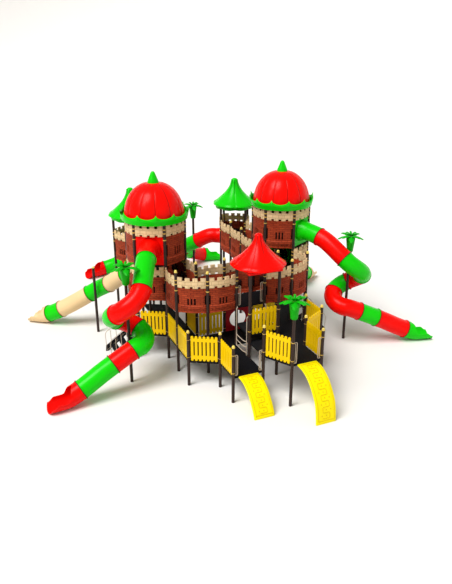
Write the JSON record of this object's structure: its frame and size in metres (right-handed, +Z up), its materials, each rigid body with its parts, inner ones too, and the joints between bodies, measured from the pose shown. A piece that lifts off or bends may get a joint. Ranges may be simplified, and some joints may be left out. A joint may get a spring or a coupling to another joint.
{
  "type": "castle playground structure",
  "caption": "Castle-shaped playground structure on round posts, with domed towers, raised walkways, winding and straight tube slides, picket panels, climbing boards and palm crowns.",
  "frame": {"origin": "centre of the plan, on the floor under the posts", "axes": "+Z up, +Y away from the two climbing boards, +X to the right of someone who faces them"},
  "size_m": [17.8546, 17.2365, 7.2903],
  "materials": {
    "dark_posts": "powder coated, satin",
    "black_metal": "coated, satin",
    "brick_red_plastic": "moulded brick pattern, matt",
    "cream_plastic": "moulded, matt",
    "yellow_plastic": "moulded, semi gloss",
    "bright_yellow_plastic": "moulded, semi gloss",
    "light_metal": "coated steel rod, satin",
    "leaf_green_plastic": "moulded, semi gloss",
    "green_plastic": "moulded, glossy",
    "red_plastic": "moulded, glossy",
    "dark_red_plastic": "moulded, semi gloss"
  },
  "bodies": {
    "root": {"back_left_palm": "leaf_green_plastic", "back_right_palm": "leaf_green_plastic", "centre_deck_fence": "yellow_plastic", "centre_deck_frame": "dark_posts", "centre_ladder": "light_metal", "centre_roof": "red_plastic", "courtyard_battlement": "cream_plastic", "courtyard_brick_wall": "brick_red_plastic", "entry_deck_fence_1": "yellow_plastic", "entry_deck_fence_2": "yellow_plastic", "entry_deck_fence_3": "yellow_plastic", "entry_deck_fence_4": "yellow_plastic", "entry_deck_frame": "dark_posts", "front_deck_frame": "dark_posts", "front_palm_crown": "leaf_green_plastic", "left_back_brick_wall": "brick_red_plastic", "left_back_slide": "green_plastic", "left_battlement": "cream_plastic", "left_bridge_frame": "dark_posts", "left_climber": "bright_yellow_plastic", "left_climber_hoops": "light_metal", "left_cone_roof": "green_plastic", "left_crown": "green_plastic", "left_dome": "red_plastic", "left_front_brick_wall": "brick_red_plastic", "left_palm": "leaf_green_plastic", "left_side_slide": "cream_plastic", "left_spiral_slide": "red_plastic", "left_stair": "black_metal", "left_tower_battlement": "cream_plastic", "left_tower_brick_wall": "brick_red_plastic", "left_tower_frame": "dark_posts", "low_deck_fence_1": "yellow_plastic", "low_deck_fence_2": "yellow_plastic", "low_deck_fence_3": "yellow_plastic", "low_deck_fence_4": "yellow_plastic", "low_deck_fence_5": "yellow_plastic", "low_deck_fence_6": "yellow_plastic", "low_deck_fence_7": "yellow_plastic", "low_deck_fence_8": "yellow_plastic", "right_back_brick_wall": "brick_red_plastic", "right_back_slide": "red_plastic", "right_battlement": "cream_plastic", "right_bridge_frame": "dark_posts", "right_climber": "bright_yellow_plastic", "right_climber_hoops": "light_metal", "right_cone_roof": "green_plastic", "right_crown": "green_plastic", "right_dome": "red_plastic", "right_front_brick_wall": "brick_red_plastic", "right_palm": "leaf_green_plastic", "right_side_slide": "cream_plastic", "right_spiral_slide": "green_plastic", "right_stair": "black_metal", "right_tower_battlement": "cream_plastic", "right_tower_brick_wall": "brick_red_plastic", "right_tower_frame": "dark_posts", "round_hole_panel": "dark_red_plastic", "side_pole": "dark_posts", "walkway_frame": "dark_posts"}
  },
  "joints": []
}
